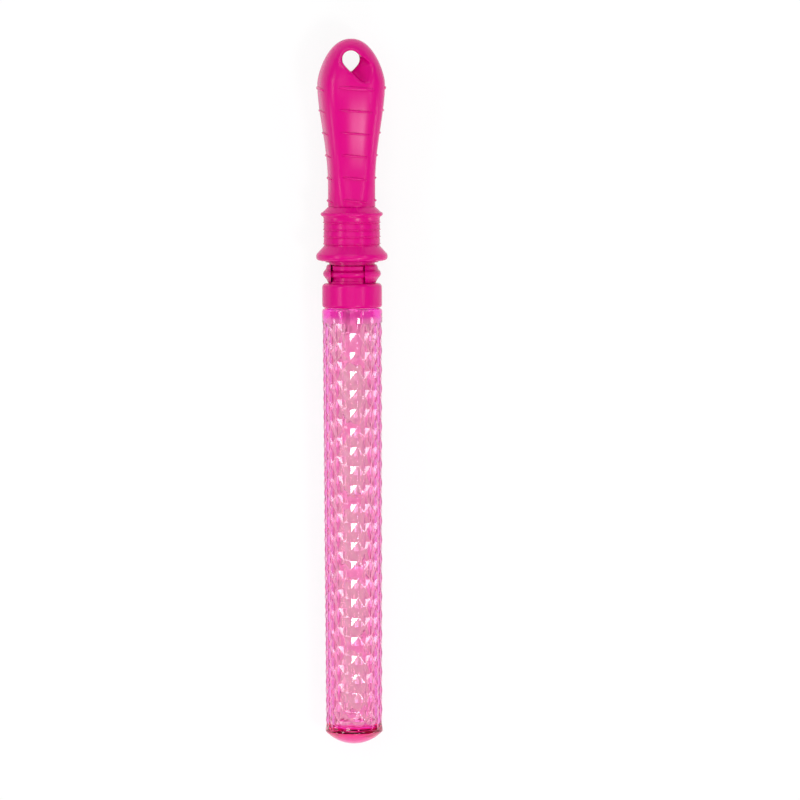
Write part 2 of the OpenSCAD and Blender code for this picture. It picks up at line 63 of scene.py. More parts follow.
# %% Coordinates along the wand
MM = 0.001
MOUTH_MM = 239.61
joints = {joint["name"]: joint for joint in frame["joints"]}
axis = Vector(joints["wand_draw"]["axis"]).normalized()
front = Vector((-axis.z, 0, axis.x))
right = axis.cross(front).normalized()
foot = Vector(joints["cap_turn"]["pos_m"]) - MOUTH_MM * MM * axis
along_wand = Matrix((
    (right.x, -front.x, axis.x, foot.x),
    (right.y, -front.y, axis.y, foot.y),
    (right.z, -front.z, axis.z, foot.z),
    (0, 0, 0, 1),
))


def to_scene(points_mm):
    """Points along the wand, in millimetres, as scene points in metres. The front is at negative y."""
    points = np.asarray(points_mm, float) * MM
    turn = np.array(along_wand.to_3x3())
    return points @ turn.T + np.array(foot)


print("tilt in degrees:", round(math.degrees(math.asin(axis.z)), 3))

# %% [markdown]
# ## The camera
# The picture is taken from above with a long lens: both sides of the wand run parallel, and its
# round edges show hardly any ellipse. The camera stands a little towards the grip, which is why
# the undersides of the collars are seen and their tops are not. A long lens from far away gives
# this look, and a scale in millimetres a pixel fixes how much of the table it takes in.

# %% Place the camera
PICTURE_PX = 800
MM_PER_PX = 0.5240
VIEW_LEAN_DEG = 3.6
ROLL_DEG = 0.25
CAMERA_FAR = 3.0
VIEW_END = 20
SENSOR_MM = 36.0
# The wand's axis and the lowest point of its dome, in the photograph
AXIS_PX = 352.6
DOME_PX = 745.0

lean = math.radians(VIEW_LEAN_DEG)
middle = PICTURE_PX / 2
aim_mm = ((middle - AXIS_PX) * MM_PER_PX, 0, (DOME_PX - middle) * MM_PER_PX)
aim = Vector(to_scene([aim_mm])[0])
back = front * math.cos(lean) + axis * math.sin(lean)
up = axis * math.cos(lean) - front * math.sin(lean)
turn = Matrix((right, up, back)).transposed()
roll = Matrix.Rotation(math.radians(-ROLL_DEG), 3, "Z")
camera_data = bpy.data.cameras.new("long lens")
camera_data.sensor_width = SENSOR_MM
camera_data.lens = SENSOR_MM * CAMERA_FAR / (PICTURE_PX * MM_PER_PX * MM)
camera_data.clip_end = VIEW_END
camera = bpy.data.objects.new("camera", camera_data)
camera.matrix_world = Matrix.Translation(aim + back * CAMERA_FAR) @ (turn @ roll).to_4x4()
scene.collection.objects.link(camera)
scene.camera = camera
print("lens in mm:", round(camera_data.lens, 1))

# %% [markdown]
# ## The light
# Each round collar in the photograph carries two soft highlights, one left and one right of the
# middle. A highlight on a cylinder sits half way between the camera and its lamp, so two long
# softboxes stand 48 degrees to the left and 43 degrees to the right, and run along the wand. A weak
# wide one in front lays a pale veil over the clear tube, and one beyond each end of the wand lights
# the faces that look that way. Area lamps are used, because a lamp's size sets how soft its
# highlight is.

# %% Add the softboxes
LAMP_FAR = 2.0
WAND_MIDDLE_MM = 185


def add_lamp(name, side_deg, lean_deg, width, length, glow):
    """A soft rectangular lamp: beside the wand, leaning towards its grip, and as bright as glow."""
    side = math.radians(side_deg)
    lean = math.radians(lean_deg)
    across = front * math.cos(side) + right * math.sin(side)
    toward = across * math.cos(lean) + axis * math.sin(lean)
    sideways = axis.cross(toward).normalized()
    upward = toward.cross(sideways)
    data = bpy.data.lights.new(name, "AREA")
    data.shape = "RECTANGLE"
    data.size = width
    data.size_y = length
    # The power grows with the lamp's area, so that glow alone says how bright its face looks
    data.energy = glow * math.pi * width * length
    lamp = bpy.data.objects.new(name, data)
    target = Vector(to_scene([(0, 0, WAND_MIDDLE_MM)])[0])
    basis = Matrix((sideways, upward, toward)).transposed()
    lamp.matrix_world = Matrix.Translation(target + toward * LAMP_FAR) @ basis.to_4x4()
    scene.collection.objects.link(lamp)
    return lamp


lamps = [
    add_lamp("left softbox", -48, 14, 0.3, 1.5, 6.4),
    add_lamp("right softbox", 43, 14, 0.2, 1.5, 4.8),
    add_lamp("front softbox", -6, 16, 1.1, 1.4, 1.15),
    add_lamp("softbox beyond the grip", -6, 64, 1.2, 0.6, 3.6),
    add_lamp("softbox beyond the dome", 4, -52, 1.0, 0.8, 5.0),
]
print("softboxes:", [lamp.name for lamp in lamps])

# %% [markdown]
# ## The sparkles
# The small white triangles on the tube are lower faces of its diamonds. All the faces of one column
# look the same way, like a row of parallel mirrors, so one small lamp beyond the dome lights them
# all. Its place follows from the angle of the faces by the law of the mirror: 24 degrees to the
# right for the column beside the middle, and further round for the columns near the edges.

# %% Add the small lamps
# Side and lean of each small lamp, its width and its glow
SPARKLES = [(25, -18, 0.34, 24), (84, -15, 0.4, 7), (-74, -16, 0.3, 8)]
SPARKLE_LENGTH = 0.44
for side_deg, lean_deg, width, glow in SPARKLES:
    name = f"small lamp at {side_deg}"
    lamps.append(add_lamp(name, side_deg, lean_deg, width, SPARKLE_LENGTH, glow))

# Light is thrown to and fro many times between the tube's faces
scene.cycles.max_bounces = 28
scene.cycles.glossy_bounces = 14
scene.cycles.transmission_bounces = 28
scene.view_settings.view_transform = "Standard"
print("lamps in all:", len(lamps))

# %% [markdown]
# ## Making materials
# Four small helpers serve every material. One turns a hex colour, as it looks on a screen, into the
# linear numbers that the shader counts in. One starts a material, and one adds a node with its
# settings and links in one line, so that a material reads as a list of steps. The last gives a skin
# its faint unevenness through a bump, because no moulding is as flat as a plain shader.

# %% Helpers for materials
def linear(hex_colour):
    """A screen colour such as "E0288A" as linear red, green, blue and alpha."""
    values = [int(hex_colour[i : i + 2], 16) / 255 for i in (0, 2, 4)]
    return [v / 12.92 if v <= 0.04045 else ((v + 0.055) / 1.055) ** 2.4 for v in values] + [1.0]


def new_material(name):
    """An empty material with its principled shader."""
    material = bpy.data.materials.new(name)
    material.use_nodes = True
    return material, material.node_tree.nodes["Principled BSDF"]


def add_node(material, kind, links=None, **settings):
    """Adds a node, sets its properties or sockets by name, and links other sockets into it."""
    node = material.node_tree.nodes.new(kind)
    for name, value in settings.items():
        if hasattr(node, name):
            setattr(node, name, value)
        else:
            node.inputs[name.replace("_", " ").title()].default_value = value
    for socket, source in (links or {}).items():
        material.node_tree.links.new(source, node.inputs[socket])
    return node


def moulded_skin(material, shader, grain_mm, depth_mm):
    """The faint unevenness of a moulded skin. The real grain is finer than a pixel of the picture, so
    it is drawn as coarse as it needs to show."""
    place = add_node(material, "ShaderNodeTexCoord")
    grain = add_node(material, "ShaderNodeTexNoise", {"Vector": place.outputs["Object"]},
                     Scale=1 / (grain_mm * MM), Detail=2.0)
    bump = add_node(material, "ShaderNodeBump", {"Height": grain.outputs["Fac"]},
                    Strength=0.4, Distance=depth_mm * MM)
    material.node_tree.links.new(bump.outputs["Normal"], shader.inputs["Normal"])


print("a screen grey of 808080 is", round(linear("808080")[0], 3), "in linear light")

# %% [markdown]
# ## The magenta plastic
# Grip, guard, lock ring and cap are injection-moulded polypropylene, coloured through. Polypropylene
# has a waxy, half-gloss skin: highlights are broad and soft, and the colour stays deep in between.
# A little light wanders under the skin, which lifts the thin edges. Its IOR is 1.49, as in tables,
# and the roughness and the strength of its gloss were then matched to the photograph.

# %% Magenta polypropylene
magenta, shader = new_material("moulded magenta polypropylene")
shader.inputs["Base Color"].default_value = linear("D6007F")
shader.inputs["Roughness"].default_value = 0.26
shader.inputs["Specular IOR Level"].default_value = 0.22
shader.inputs["IOR"].default_value = 1.49
shader.inputs["Subsurface Weight"].default_value = 0.06
shader.inputs["Subsurface Radius"].default_value = (0.004, 0.001, 0.002)
shader.inputs["Subsurface Scale"].default_value = 0.5
moulded_skin(magenta, shader, 2.2, 0.02)
print("made", magenta.name)

# %% [markdown]
# ## The tinted tube
# The tube is moulded polystyrene, clear with a pink tint. The tint lies in the depth of the wall:
# the thin wall looks pale, while the thick base and the edges, where one looks along the wall, turn
# magenta. A volume that swallows green light does that, and the surface itself carries only a pale
# tint. How fast the light dies is given per metre. Polystyrene bends light strongly, with an IOR of
# 1.59, and that gives its facets their sparkle. Real light from the lamps also reaches what is
# inside the tube. A renderer's shadow rays stop at glass, so for them the wall is a plain film.

# %% Tinted clear plastic
# How much light the tint takes on its way through a metre of plastic
TINT_PER_METRE = 400.0
tinted, shader = new_material("tinted clear polystyrene")
shader.inputs["Base Color"].default_value = linear("F8FFE1")
shader.inputs["Roughness"].default_value = 0.04
shader.inputs["IOR"].default_value = 1.59
shader.inputs["Transmission Weight"].default_value = 1.0
depth = add_node(tinted, "ShaderNodeVolumeAbsorption", Density=TINT_PER_METRE)
depth.inputs["Color"].default_value = linear("FF27F5")
path = add_node(tinted, "ShaderNodeLightPath")
film = add_node(tinted, "ShaderNodeBsdfTransparent")
film.inputs["Color"].default_value = linear("D8C8D0")
mix = add_node(tinted, "ShaderNodeMixShader", {0: path.outputs["Is Shadow Ray"],
                                               1: shader.outputs[0], 2: film.outputs[0]})
output = tinted.node_tree.nodes["Material Output"]
tinted.node_tree.links.new(mix.outputs[0], output.inputs["Surface"])
tinted.node_tree.links.new(depth.outputs["Volume"], output.inputs["Volume"])
# Clear mouldings ripple a little, which makes their highlights uneven
moulded_skin(tinted, shader, 2.6, 0.03)
print("made", tinted.name)

# %% [markdown]
# ## The inner wand and the washer
# The frame of loops and its stem are a paler, milky polypropylene, which shows only faintly through
# the tube. The washer is cut from white polyethylene foam, so it gets a pattern of cells and no
# gloss. Real foam cells are about a tenth of a millimetre, and here they are drawn 0.35 mm across.

# %% Milky pink plastic and white foam
milky, shader = new_material("milky pink polypropylene")
shader.inputs["Base Color"].default_value = linear("E9D0DC")
shader.inputs["Roughness"].default_value = 0.4
shader.inputs["IOR"].default_value = 1.49
shader.inputs["Subsurface Weight"].default_value = 0.2
shader.inputs["Subsurface Radius"].default_value = (0.004, 0.002, 0.003)
shader.inputs["Subsurface Scale"].default_value = 0.5
moulded_skin(milky, shader, 3.0, 0.03)

foam, shader = new_material("white polyethylene foam")
shader.inputs["Base Color"].default_value = linear("F3F2EE")
shader.inputs["Roughness"].default_value = 0.9
moulded_skin(foam, shader, 0.35, 0.08)

FINISHES = {
    "tube": tinted,
    "neck_seal": foam,
    "screw_cap": magenta,
    "lock_ring": magenta,
    "guard_collar": magenta,
    "grip": magenta,
    "wand_stem": milky,
    "bubble_frame": milky,
}
for node, material in FINISHES.items():
    mesh = frame["nodes"][node].data
    mesh.materials.clear()
    mesh.materials.append(material)
print("finishes:", {node: material.name for node, material in FINISHES.items()})

# %% [markdown]
# ## The white table
# The table is plain white. Its colour alone would come out a little grey under soft lamps, so the
# camera sees mostly a white of strength 1, and a small share of the lit surface keeps the shadow.
# Rays that come by way of gloss or through the clear tube see the same white. Clear plastic shows
# mostly what is behind it, so this white is what makes the tube glow.

# %% Add the table
TABLE_SIZE = 8
LIT_SHARE = 0.14


def seen_directly(material):
    """A socket that is 1 for rays from the camera, from gloss and from clear plastic, and else 0."""
    path = add_node(material, "ShaderNodeLightPath")
    seen = path.outputs["Is Camera Ray"]
    for kind in ("Is Glossy Ray", "Is Transmission Ray"):
        either = add_node(material, "ShaderNodeMath", {0: seen, 1: path.outputs[kind]},
                          operation="MAXIMUM")
        seen = either.outputs[0]
    return seen


bpy.ops.mesh.primitive_plane_add(size=TABLE_SIZE, location=(0, 0, 0))
table = bpy.context.object
table.name = "table"
paper, shader = new_material("white paper")
shader.inputs["Base Color"].default_value = linear("FAFAFA")
shader.inputs["Roughness"].default_value = 0.9
share = add_node(paper, "ShaderNodeMath", {0: seen_directly(paper)}, operation="MULTIPLY")
share.inputs[1].default_value = 1 - LIT_SHARE
white = add_node(paper, "ShaderNodeEmission", Strength=1.0)
mix = add_node(paper, "ShaderNodeMixShader", {0: share.outputs[0], 1: shader.outputs[0],
                                              2: white.outputs[0]})
output = paper.node_tree.nodes["Material Output"]
paper.node_tree.links.new(mix.outputs[0], output.inputs["Surface"])
table.data.materials.append(paper)
print("table in place, share of lit surface:", LIT_SHARE)

# %% [markdown]
# ## The room
# Around the table is a pale room. The camera sees it white, but as a lamp it is weak, or it would
# wash out the softboxes. In reflections and through the tube it is dimmer still: the dark room
# around a real photo table is what gives plastic its deep tones between the highlights. A chain of
# Mix nodes picks the brightness by the kind of ray.

# %% Light the room
ROOM_GLOW = 0.3
# How bright the room is for each kind of ray. Where a ray is of two kinds, the later one counts.
ROOM_SEEN_BY = {"Is Glossy Ray": 0.1, "Is Transmission Ray": 0.25, "Is Camera Ray": 1.0}
room = bpy.data.worlds.new("pale room")
scene.world = room
room.use_nodes = True
path = add_node(room, "ShaderNodeLightPath")
links = {}
for kind, brightness in ROOM_SEEN_BY.items():
    links["Factor"] = path.outputs[kind]
    choose = add_node(room, "ShaderNodeMix", links, A=ROOM_GLOW, B=brightness)
    links["A"] = choose.outputs["Result"]
background = room.node_tree.nodes["Background"]
background.inputs["Color"].default_value = (1, 1, 1, 1)
room.node_tree.links.new(choose.outputs["Result"], background.inputs["Strength"])
print("room glow:", ROOM_GLOW, "seen by", ROOM_SEEN_BY)

# %% [markdown]
# ## The tube's diamonds
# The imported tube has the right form, but its facets are shaded as one soft surface, so it is built
# again here from the same few solids. The first is the body of diamonds. A displaced cylinder would
# blur its ridges, so the points are laid on a grid, every second one stands out as a tip, and
# triangles join them. A narrow bevel then gives the ridges the small radius that a mould leaves,
# and this is where the thin sparkles come from.

# %% Helpers for meshes
def mesh_object(name, points_mm, faces):
    """A mesh object from points along the wand."""
    mesh = bpy.data.meshes.new(name)
    mesh.from_pydata([tuple(p) for p in to_scene(points_mm)], [], faces)
    mesh.update()
    piece = bpy.data.objects.new(name, mesh)
    scene.collection.objects.link(piece)
    return piece


def face_outward(piece):
    """Turns the faces of a closed piece outward, which booleans and clear plastics rely on."""
    edit = bmesh.new()
    edit.from_mesh(piece.data)
    bmesh.ops.recalc_face_normals(edit, faces=edit.faces)
    edit.to_mesh(piece.data)
    edit.free()


def apply_modifiers(piece):
    """Turns what the modifiers show into the piece's own mesh."""
    shown = piece.evaluated_get(bpy.context.evaluated_depsgraph_get())
    mesh = bpy.data.meshes.new_from_object(shown)
    piece.modifiers.clear()
    piece.data = mesh


def shade_smooth(piece):
    """Shades across the edges between faces, for what is round on the real object."""
    for face in piece.data.polygons:
        face.use_smooth = True


print("lowest point of the dome in metres:", to_scene([(0, 0, 0)])[0].round(4))

# %% Build the body of diamonds
TUBE_RADIUS = 15.75
END_RADIUS = 15.0
DIAMOND_DEPTH = 0.7
DIAMONDS_ROUND = 12
HALF_ROWS = 43
DIAMOND_TURN = 10
FOOT_TOP = 8.0
BAND_FOOT = 221.71
RIDGE_WIDTH = 0.2
# Edges that turn by more than this get a ridge
RIDGE_ANGLE = math.radians(12)
# Room between surfaces that would otherwise coincide, which booleans can't tell apart
GAP = 0.05


def diamond_body():
    """The faceted body: every second crossing of a grid is a tip, and the others are valleys."""
    columns = 2 * DIAMONDS_ROUND
    points = []
    faces = [tuple(range(columns)), tuple(HALF_ROWS * columns + i for i in range(columns))]
    for j in range(HALF_ROWS + 1):
        share = j / HALF_ROWS
        tip_radius = END_RADIUS - GAP + (TUBE_RADIUS - END_RADIUS) * share
        for i in range(columns):
            is_tip = (i + HALF_ROWS - j) % 2 == 0
            radius = tip_radius - (0 if is_tip else DIAMOND_DEPTH)
            angle = math.radians(DIAMOND_TURN - 90 + i * 180 / DIAMONDS_ROUND)
            points.append((radius * math.cos(angle), radius * math.sin(angle),
                           FOOT_TOP + share * (BAND_FOOT - FOOT_TOP)))
            if j < HALF_ROWS:
                a = j * columns + i
                b = j * columns + (i + 1) % columns
                c, d = a + columns, b + columns
                faces += [(a, b, c), (b, d, c)] if is_tip else [(a, b, d), (a, d, c)]
    piece = mesh_object("tube_skin", points, faces)
    face_outward(piece)
    return piece


tube = diamond_body()
ridges = tube.modifiers.new("ridges", "BEVEL")
ridges.width = RIDGE_WIDTH * MM
ridges.segments = 2
ridges.limit_method = "ANGLE"
ridges.angle_limit = RIDGE_ANGLE
apply_modifiers(tube)
print("body of diamonds:", len(tube.data.polygons), "faces")

# %% [markdown]
# ## Foot, neck and hollow
# The solid domed foot, the shoulder with the neck, and the hollow are round, so each is an outline
# turned about the axis. Booleans join the first two to the body and cut the hollow out, as the core
# of the mould does.

# %% Helpers for turned pieces
def grid_faces(rows, columns):
    """Quads between rings of points, with the last column joined to the first."""
    return [
        (r * columns + c, r * columns + (c + 1) % columns,
         (r + 1) * columns + (c + 1) % columns, (r + 1) * columns + c)
        for r in range(rows - 1) for c in range(columns)
    ]


def lathe(name, outline, columns=120):
    """Turns an outline of radius and height, from its lowest point up, into a closed piece."""
    around = np.arange(columns) * 2 * math.pi / columns
    radius, height = np.array(outline, float).T
    points = np.stack([np.outer(radius, np.cos(around)), np.outer(radius, np.sin(around)),
                       np.outer(height, np.ones(columns))], axis=-1)
    rows = len(outline)
    faces = grid_faces(rows, columns)
    faces += [tuple(range(columns)), tuple(range((rows - 1) * columns, rows * columns))]
    piece = mesh_object(name, points.reshape(-1, 3), faces)
    face_outward(piece)
    return piece


def combine(piece, others, operation):
    """Joins other closed pieces to this one, or cuts them out of it, and deletes them."""
    for other in others:
        boolean = piece.modifiers.new(other.name, "BOOLEAN")
        boolean.object = other
        boolean.operation = operation
        boolean.solver = "EXACT"
    bpy.context.view_layer.update()
    apply_modifiers(piece)
    for other in others:
        bpy.data.objects.remove(other)


def arc(centre, radius, start, end, steps):
    """Points on an arc, with its angles in degrees."""
    turn = np.radians(np.linspace(start, end, steps))
    return [(centre[0] + radius * math.cos(a), centre[1] + radius * math.sin(a)) for a in turn]


print("a quarter arc:", [(round(x, 2), round(y, 2)) for x, y in arc((0, 0), 1, 0, 90, 3)])

# %% Join the foot and the neck to the body
NECK_FOOT = 229.11
NECK_RADIUS = 12.9
SHOULDER_ROUND = 1.6
DOME_HEIGHT = 6.6

dome_radius = (END_RADIUS**2 + DOME_HEIGHT**2) / (2 * DOME_HEIGHT)
dome_edge = math.degrees(math.asin(END_RADIUS / dome_radius))
foot_outline = arc((0, dome_radius), dome_radius, -89, dome_edge - 90, 40)
foot_outline += [(END_RADIUS, FOOT_TOP), (END_RADIUS - 1, FOOT_TOP), (END_RADIUS - 1, FOOT_TOP + 1)]
round_centre = (TUBE_RADIUS - SHOULDER_ROUND, NECK_FOOT - SHOULDER_ROUND)
neck_outline = [(TUBE_RADIUS - 1, BAND_FOOT - 1), (TUBE_RADIUS - 1, BAND_FOOT),
                (TUBE_RADIUS, BAND_FOOT)]
neck_outline += arc(round_centre, SHOULDER_ROUND, 0, 90, 12)
neck_outline += [(NECK_RADIUS, NECK_FOOT), (NECK_RADIUS, MOUTH_MM)]
combine(tube, [lathe("foot", foot_outline), lathe("neck", neck_outline)], "UNION")
print("with foot and neck:", len(tube.data.polygons), "faces")

# %% Hollow the tube and finish it
TUBE_WALL = 1.2
# The shoulder is drawn thick inside, because the photograph shows a deep colour there
SHOULDER_WALL = 3.4
BASE_THICK = 8.4
FLOOR_ROUND = 3.0
NECK_BORE = 11.9

low_radius = END_RADIUS - DIAMOND_DEPTH - TUBE_WALL
high_radius = TUBE_RADIUS - DIAMOND_DEPTH - TUBE_WALL
roof = NECK_FOOT - SHOULDER_WALL
hollow_outline = arc((low_radius - FLOOR_ROUND, BASE_THICK + FLOOR_ROUND), FLOOR_ROUND, -90, 0, 12)
hollow_outline += [(high_radius, roof - (high_radius - NECK_BORE)), (NECK_BORE, roof),
                   (NECK_BORE, MOUTH_MM + 1)]
combine(tube, [lathe("hollow", hollow_outline)], "DIFFERENCE")
shade_smooth(tube)
# Smooth shading follows the large faces alone, so the facets stay flat and only ridges look round
flats = tube.modifiers.new("flat faces", "WEIGHTED_NORMAL")
flats.mode = "FACE_AREA"
flats.weight = 100
tube.data.materials.clear()
tube.data.materials.append(tinted)
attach(tube, "bottle")
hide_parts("tube")
print("tube:", len(tube.data.polygons), "faces")

# %% [markdown]
# ## The guard
# The guard is a turned form: a wide skirt that keeps the mixture off the hand, a cylinder with four
# fine rings, and a bead under the grip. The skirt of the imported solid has 40 flats, so that the wand
# lies still on one of them, and its shading shows them. The real one is round, so its outline is
# turned here with many columns.

# %% Turn the outside of the guard
GUARD_FOOT = 253.21
SKIRT_EDGE = 255.81
SKIRT_LAND = 0.8
SKIRT_TOP = 261.61
SKIRT_RADIUS = 18.7
SKIRT_ROUND = 1.7
SLEEVE_RADIUS = 13.85
GUARD_RADIUS = 14.75
RING_COUNT = 4
FIRST_RING = 262.81
RING_PITCH = 3.73
RING_SIZE = 0.32
COLLAR_FOOT = 276.21
BEAD_AT = 278.31
BEAD_ROUND = 1.155
BEAD_RADIUS = 16.3
GUARD_TOP = 282.11
GUARD_TOP_RADIUS = 12.4

edge = (SKIRT_RADIUS - SKIRT_ROUND, SKIRT_EDGE)
guard_outline = [(SLEEVE_RADIUS + GAP, GUARD_FOOT)]
guard_outline += arc(edge, SKIRT_ROUND, -90, 0, 9)
guard_outline += arc((edge[0], SKIRT_EDGE + SKIRT_LAND), SKIRT_ROUND, 0, 45, 5)
guard_outline += [(GUARD_RADIUS, SKIRT_TOP)]
for k in range(RING_COUNT):
    # A fine groove runs below each ring
    ring_at = FIRST_RING + k * RING_PITCH
    guard_outline += [(GUARD_RADIUS, ring_at - RING_PITCH / 3 + GAP),
                      (GUARD_RADIUS - RING_SIZE, ring_at - RING_SIZE)]
    guard_outline += arc((GUARD_RADIUS, ring_at), RING_SIZE, -90, 90, 7)
guard_outline += [(GUARD_RADIUS, COLLAR_FOOT)]
guard_outline += arc((BEAD_RADIUS - BEAD_ROUND, BEAD_AT), BEAD_ROUND, -90, 90, 13)
guard_outline += [(GUARD_TOP_RADIUS, GUARD_TOP)]
guard = lathe("guard_skin", guard_outline, 160)
print("outside of the guard:", len(guard.data.polygons), "faces")

# %% Hollow the guard and finish it
SKIRT_HOLLOW = 16.1
SLEEVE_BORE = 12.05
PLUG_BORE = 11.15
FLOOR_BELOW = 258.76
FLOOR_THICK = 2

skirt_hollow = [(SKIRT_HOLLOW, GUARD_FOOT - 1), (SKIRT_HOLLOW, SKIRT_EDGE),
                (SLEEVE_RADIUS, SKIRT_TOP - 1.8)]
combine(guard, [lathe("skirt hollow", skirt_hollow)], "DIFFERENCE")
sleeve = lathe("sleeve", [(SLEEVE_RADIUS, GUARD_FOOT), (SLEEVE_RADIUS, SKIRT_TOP - 1)])
combine(guard, [sleeve], "UNION")
bore = lathe("lock bore", [(SLEEVE_BORE, GUARD_FOOT - 1), (SLEEVE_BORE, FLOOR_BELOW)])
plug = lathe("plug bore", [(PLUG_BORE, FLOOR_BELOW + FLOOR_THICK), (PLUG_BORE, GUARD_TOP + 1)])
combine(guard, [bore, plug], "DIFFERENCE")
shade_smooth(guard)
# Edges that turn by more than this stay crisp
guard.data.set_sharp_from_angle(angle=math.radians(32))
guard.data.materials.clear()
guard.data.materials.append(magenta)
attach(guard, "wand")
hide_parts("guard_collar")
print("guard:", len(guard.data.polygons), "faces")

# %% [markdown]
# ## The grip
# The grip is a hollow moulding with a rounded-square section. It swells towards a round crown with
# a drop-shaped hanging hole and a dished scoop on each side, and every edge of that hole is soft.
# One could model it by hand with subdivision, but its outline is a smooth formula, so its skin is
# built ring by ring, the hole is cut with a boolean, and a fine remesh followed by smoothing
# around the hole melts the edges. The ribs go on last, so that the smoothing can't blur them.

# %% Shape of the grip's skin
GRIP_FOOT = GUARD_TOP
GRIP_LENGTH = 87.9
WAIST = 12.4
WAIST_LENGTH = 9.9
BULGE = 17.8
BULGE_AT = 64.9
# How late the swelling starts, how late the crown turns in, and how blunt its top is
SWELL_EASE = 1.15
CROWN_EASE = 1.4
CROWN_BLUNT = 0.46
# The power of the section's formula: 2 is a circle, and a high one nearly a square
SQUARENESS = 3.1
FACET_TURN = math.radians(10)


def grip_half(h):
    """Half width of the grip, as seen from the front, at a height above its foot."""
    rise = np.clip((h - WAIST_LENGTH) / (BULGE_AT - WAIST_LENGTH), 0, 1) ** SWELL_EASE
    below = WAIST + (BULGE - WAIST) * rise * rise * (3 - 2 * rise)
    fall = np.clip((h - BULGE_AT) / (GRIP_LENGTH - BULGE_AT), 0, 1) ** CROWN_EASE
    above = BULGE * (1 - fall) ** CROWN_BLUNT
    return np.where(h < BULGE_AT, below, above)


def grip_radius(h, angle):
    """Distance from the axis at a height and at an angle from a facet's middle."""
    low = np.clip(h / (2 * WAIST_LENGTH), 0, 1)
    high = np.clip((GRIP_LENGTH - h) / (GRIP_LENGTH - BULGE_AT), 0, 1)
    power = 2 + (SQUARENESS - 2) * low * high
    other = power / (power - 1)
    spread = (math.cos(FACET_TURN) ** other + math.sin(FACET_TURN) ** other) ** (1 / other)
    corner = (np.abs(np.cos(angle)) ** power + np.abs(np.sin(angle)) ** power) ** (1 / power)
    return grip_half(h) / spread / corner


def grip_point(h, angle, out=0.0):
    """Points on the grip, along the wand. The angle runs from the front facet's middle rightwards."""
    radius = grip_radius(h, angle) + out
    around = angle + FACET_TURN - math.pi / 2
    return np.stack([radius * np.cos(around), radius * np.sin(around), GRIP_FOOT + h], axis=-1)


print("half width in mm at the waist and the bulge:",
      grip_half(np.array([0.0, BULGE_AT])).round(1))

# %% Loft the skin
COLUMNS = 144
ROWS = 190
share_up = np.linspace(0, 1, ROWS)
# Rings lie closer together towards the crown, where the outline turns in fast
heights = GRIP_LENGTH * np.where(share_up < 0.6, share_up / 0.6 * 0.68,
                                 0.68 + 0.32 * np.sin((share_up - 0.6) / 0.4 * math.pi / 2))
# The last ring stays just above the one before, because a fold there would turn the cut inside out
heights[-1] = GRIP_LENGTH - 0.002
angles = np.arange(COLUMNS) * 2 * math.pi / COLUMNS
height_grid, angle_grid = np.meshgrid(heights, angles, indexing="ij")
skin = grip_point(height_grid, angle_grid).reshape(-1, 3)
faces = grid_faces(ROWS, COLUMNS)
faces.append(tuple(range(COLUMNS - 1, -1, -1)))
faces.append(tuple(range((ROWS - 1) * COLUMNS, ROWS * COLUMNS)))
grip = mesh_object("grip_skin", skin, faces)
face_outward(grip)
print("grip skin:", len(faces), "faces")

# %% [markdown]
# ## The hanging hole
# The hole is round with a pointed lower end, and from it a scoop runs down to one side, with a
# floor that rises along it. The same scoop is on the back, half a turn round, so the web between
# them is only a few millimetres deep. The cutters are prisms with those outlines, which keep the
# hole's sharp drop shape better than a sculpted hollow would.

# %% Outlines of the hole and of the scoop
HOLE_DROP = 10.8
HOLE_AT = GRIP_FOOT + GRIP_LENGTH - HOLE_DROP
HOLE_RADIUS = 4.6
HOLE_POINT = 6.8
SCOOP_SIDE = 8.0
SCOOP_DROP = 7.0
SCOOP_RADIUS = 5.2

reach = math.hypot(SCOOP_SIDE, SCOOP_DROP)
scoop_turn = math.degrees(math.atan2(SCOOP_DROP, SCOOP_SIDE))
taper = math.degrees(math.asin((HOLE_RADIUS - SCOOP_RADIUS) / reach))
point_at = math.degrees(math.asin(HOLE_RADIUS / HOLE_POINT))
drop_outline = arc((0, 0), HOLE_RADIUS, -point_at, 180 + point_at, 48) + [(0, -HOLE_POINT)]
# The scoop starts a little inside the hole, so that the two cutters share no surface
inner_radius = HOLE_RADIUS - 0.2
scoop_outline = arc((0, 0), inner_radius, 90 - taper - scoop_turn, 270 + taper - scoop_turn, 24)
scoop_outline += arc((SCOOP_SIDE, -SCOOP_DROP), SCOOP_RADIUS,
                     -90 + taper - scoop_turn, 90 - taper - scoop_turn, 20)
print("the scoop runs", round(reach, 1), "mm, at", round(scoop_turn), "degrees below the level")

# %% Cut the hanging hole
HOLE_WEB = 4.4
SCOOP_SLOPE = math.radians(40)
CUT_DEPTH = 24.0


def prism(name, outline, near, far):
    """A prism through the grip. near and far give its depth at each corner of the outline."""
    count = len(outline)
    points = [(x, -near(x, z), HOLE_AT + z) for x, z in outline]
    points += [(x, -far(x, z), HOLE_AT + z) for x, z in outline]
    sides = [(i, (i + 1) % count, (i + 1) % count + count, i + count) for i in range(count)]
    ends = [tuple(range(count - 1, -1, -1)), tuple(range(count, 2 * count))]
    cutter = mesh_object(name, points, sides + ends)
    face_outward(cutter)
    return cutter


def scoop_floor(x, z):
    """Depth of the scoop's floor in front of the axis: it rises along the scoop."""
    run = x * math.cos(math.radians(scoop_turn)) - z * math.sin(math.radians(scoop_turn))
    return HOLE_WEB / 2 + max(run, -HOLE_RADIUS) * math.tan(SCOOP_SLOPE) * (run > 0)


